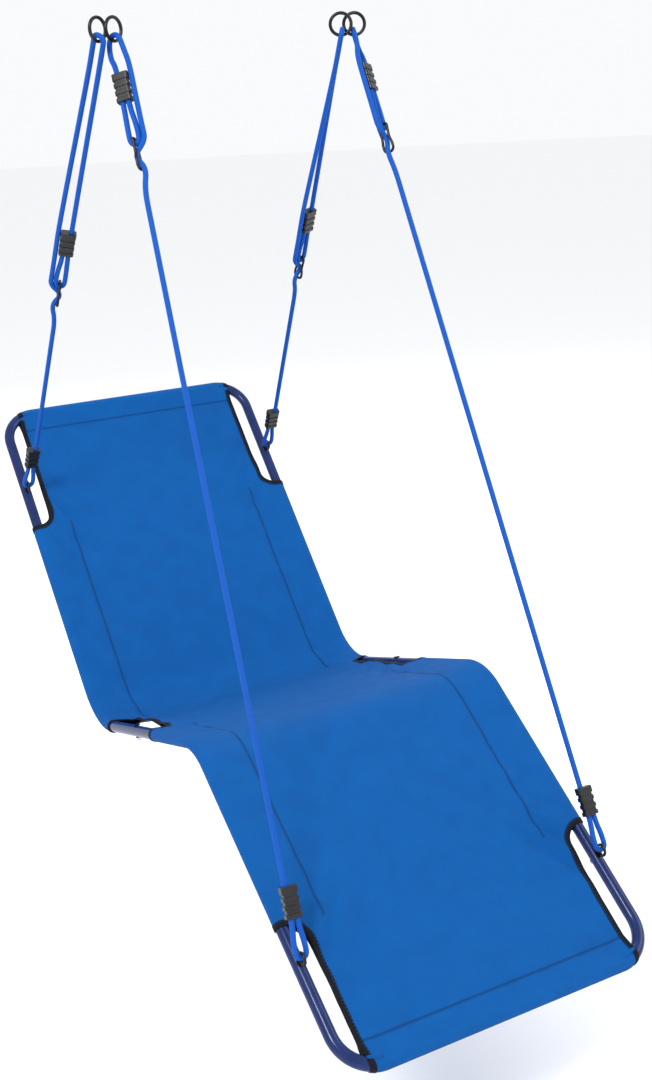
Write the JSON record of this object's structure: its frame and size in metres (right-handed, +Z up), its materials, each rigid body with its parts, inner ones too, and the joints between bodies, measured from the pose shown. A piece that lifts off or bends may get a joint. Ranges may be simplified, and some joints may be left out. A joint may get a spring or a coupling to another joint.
{
  "type": "sling lounger swing",
  "caption": "Hanging lounger: bent steel tube frame with a fabric sling, hung by adjustable ropes, adjuster blocks and steel rings.",
  "frame": {"origin": "middle of the hang line, the straight line through the lowest wire of the four hang rings", "axes": "+X across the lounger along the hang line, +Y towards the head end, +Z up"},
  "size_m": [0.616, 1.5448, 1.5604],
  "materials": {
    "tube": "gloss",
    "sling": "matte",
    "binding": "matte",
    "rope": "satin",
    "block": "satin",
    "ring": "satin",
    "bolt": "satin",
    "nut": "polished"
  },
  "bodies": {
    "hang_rings": {"hang_ring_rear_left": "ring", "hang_ring_rear_right": "ring", "hang_ring_front_left": "ring", "hang_ring_front_right": "ring"},
    "lounger": {"head_bar": "tube", "foot_bar": "tube", "back_rail_left": "tube", "back_rail_right": "tube", "leg_rail_left": "tube", "leg_rail_right": "tube", "sling": "sling", "head_binding_left": "binding", "head_binding_right": "binding", "seat_binding_left": "binding", "seat_binding_right": "binding", "foot_binding_left": "binding", "foot_binding_right": "binding", "mid_bolts": "bolt", "dome_nuts": "nut", "nut_washers": "bolt", "rope_rear_left": "rope", "link_rear_left": "ring", "eyebolt_rear_left": "bolt", "rope_rear_right": "rope", "link_rear_right": "ring", "eyebolt_rear_right": "bolt", "rope_front_left": "rope", "link_front_left": "ring", "eyebolt_front_left": "bolt", "rope_front_right": "rope", "link_front_right": "ring", "eyebolt_front_right": "bolt"},
    "upper_block_rear_left": {"upper_block_rear_left": "block"},
    "lower_block_rear_left": {"lower_block_rear_left": "block"},
    "upper_block_rear_right": {"upper_block_rear_right": "block"},
    "lower_block_rear_right": {"lower_block_rear_right": "block"},
    "upper_block_front_left": {"upper_block_front_left": "block"},
    "lower_block_front_left": {"lower_block_front_left": "block"},
    "upper_block_front_right": {"upper_block_front_right": "block"},
    "lower_block_front_right": {"lower_block_front_right": "block"}
  },
  "joints": [
    {"name": "swing", "type": "hinge", "parent": "hang_rings", "child": "lounger", "pos_m": [0, 0, 0], "axis": [1, 0, 0], "range_deg": [-25, 25]},
    {"name": "upper_block_rear_left_slide", "type": "slide", "parent": "lounger", "child": "upper_block_rear_left", "axis": [0.0349, -0.5504, 0.8342], "range_m": [0, 0.006]},
    {"name": "lower_block_rear_left_slide", "type": "slide", "parent": "lounger", "child": "lower_block_rear_left", "axis": [0.0349, -0.5504, 0.8342], "range_m": [0, 0.012]},
    {"name": "upper_block_rear_right_slide", "type": "slide", "parent": "lounger", "child": "upper_block_rear_right", "axis": [-0.082, -0.5489, 0.8319], "range_m": [0, 0.006]},
    {"name": "lower_block_rear_right_slide", "type": "slide", "parent": "lounger", "child": "lower_block_rear_right", "axis": [-0.082, -0.5489, 0.8319], "range_m": [0, 0.012]},
    {"name": "upper_block_front_left_slide", "type": "slide", "parent": "lounger", "child": "upper_block_front_left", "axis": [0.0537, 0.429, 0.9017], "range_m": [0, 0.006]},
    {"name": "lower_block_front_left_slide", "type": "slide", "parent": "lounger", "child": "lower_block_front_left", "axis": [0.0537, 0.429, 0.9017], "range_m": [0, 0.012]},
    {"name": "upper_block_front_right_slide", "type": "slide", "parent": "lounger", "child": "upper_block_front_right", "axis": [-0.0275, 0.4295, 0.9027], "range_m": [0, 0.006]},
    {"name": "lower_block_front_right_slide", "type": "slide", "parent": "lounger", "child": "lower_block_front_right", "axis": [-0.0275, 0.4295, 0.9027], "range_m": [0, 0.012]}
  ]
}
